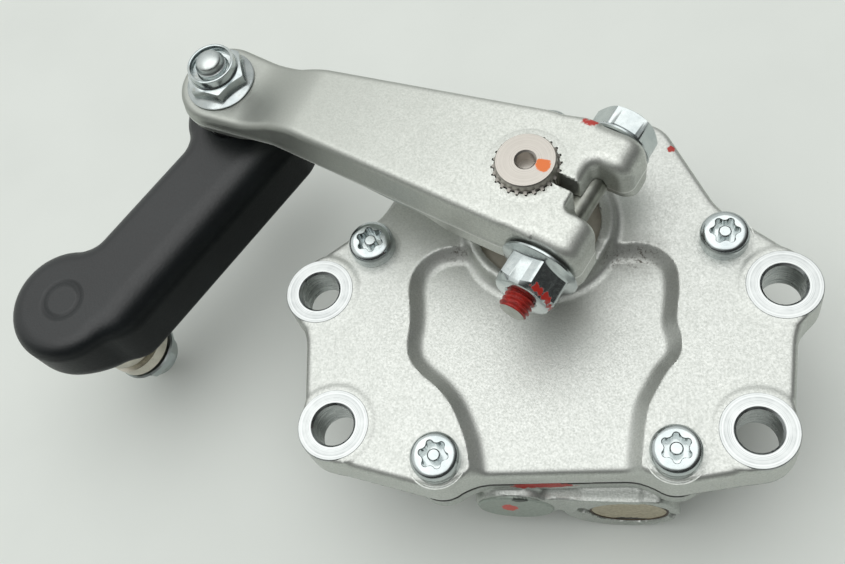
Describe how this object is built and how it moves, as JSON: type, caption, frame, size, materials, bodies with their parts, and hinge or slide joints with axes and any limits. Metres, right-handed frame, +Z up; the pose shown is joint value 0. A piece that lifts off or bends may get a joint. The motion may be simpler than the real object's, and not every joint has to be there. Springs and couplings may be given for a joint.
{
  "type": "rotary steering damper",
  "caption": "Motorcycle rotary steering damper: cast housing with mounting lugs, clamped arm on a serrated shaft and a ball-jointed drop link with a leaning lower stud.",
  "frame": {"origin": "middle of the front pair of mounting holes, on the mounting face under the lugs", "axes": "+X across the mounting holes, +Y from the front valve bosses to the rear, +Z up along the shaft to the arm"},
  "size_m": [0.1729, 0.0994, 0.0635],
  "materials": {
    "cast_cover": "blasted casting, pale satin",
    "cast_case": "blasted casting, satin",
    "forged_arm": "blasted forging, satin",
    "plain_alloy": "machined",
    "zinc_steel": "bright zinc plate",
    "bare_steel": "machined",
    "spring_steel": "oiled",
    "bronze": "machined",
    "rubber": "matte",
    "black_moulding": "semi matte moulding",
    "cream_plastic": "dull",
    "race_plastic": "dull"
  },
  "bodies": {
    "housing": {"top_cover": "cast_cover", "lower_case": "cast_case", "perimeter_seal": "rubber", "cover_screws": "zinc_steel", "cover_bush": "bronze", "case_bush": "bronze", "oil_seal": "rubber", "dust_seal": "rubber", "thrust_washers": "bronze", "front_plug": "plain_alloy", "plug_ring": "rubber", "relief_seat": "bare_steel", "relief_spring": "spring_steel", "accumulator_cap": "cream_plastic", "cap_ring": "rubber", "snap_ring": "spring_steel", "accumulator_spring": "spring_steel", "check_seats": "bare_steel", "check_stops": "bare_steel"},
    "arm": {"output_shaft": "bare_steel", "rotor": "plain_alloy", "vane_seal": "rubber", "damper_arm": "forged_arm", "pinch_bolt": "zinc_steel", "pinch_nut": "zinc_steel", "upper_ball_stud": "zinc_steel", "upper_nut": "zinc_steel"},
    "link": {"link_cover": "black_moulding", "link_bar": "plain_alloy", "upper_race": "race_plastic", "lower_race": "race_plastic", "upper_plate": "bare_steel", "lower_plate": "bare_steel", "upper_boot": "rubber", "lower_boot": "rubber"},
    "lower_stud": {"lower_ball_stud": "zinc_steel", "lower_nut": "zinc_steel"},
    "accumulator_piston": {"accumulator_piston": "plain_alloy", "piston_ring": "rubber"},
    "relief_ball": {"relief_ball": "bare_steel"},
    "check_ball_left": {"check_ball_left": "bare_steel"},
    "check_ball_right": {"check_ball_right": "bare_steel"}
  },
  "joints": [
    {"name": "arm_swing", "type": "hinge", "parent": "housing", "child": "arm", "pos_m": [-0.001, 0.045, 0], "axis": [0, 0, 1], "range_deg": [-30, 30]},
    {"name": "link_swing", "type": "hinge", "parent": "arm", "child": "link", "pos_m": [-0.07054, 0.0731, 0.0092], "axis": [0, 0, 1], "range_deg": [-60, 15]},
    {"name": "lower_stud_turn", "type": "hinge", "parent": "link", "child": "lower_stud", "pos_m": [-0.10356, 0.02469, 0.0092], "axis": [-0.1793, -0.0653, 0.9816], "range_deg": [-45, 45]},
    {"name": "accumulator_slide", "type": "slide", "parent": "housing", "child": "accumulator_piston", "axis": [0, -1, 0], "range_m": [0, 0.002], "stiffness_N_per_m": 2000, "deforming": ["accumulator_spring"]},
    {"name": "relief_lift", "type": "slide", "parent": "housing", "child": "relief_ball", "axis": [0, -1, 0], "range_m": [0, 0.0008], "stiffness_N_per_m": 3000, "deforming": ["relief_spring"]},
    {"name": "check_left_lift", "type": "slide", "parent": "housing", "child": "check_ball_left", "axis": [0, 0, 1], "range_m": [0, 0.0008]},
    {"name": "check_right_lift", "type": "slide", "parent": "housing", "child": "check_ball_right", "axis": [0, 0, 1], "range_m": [0, 0.0008]}
  ]
}
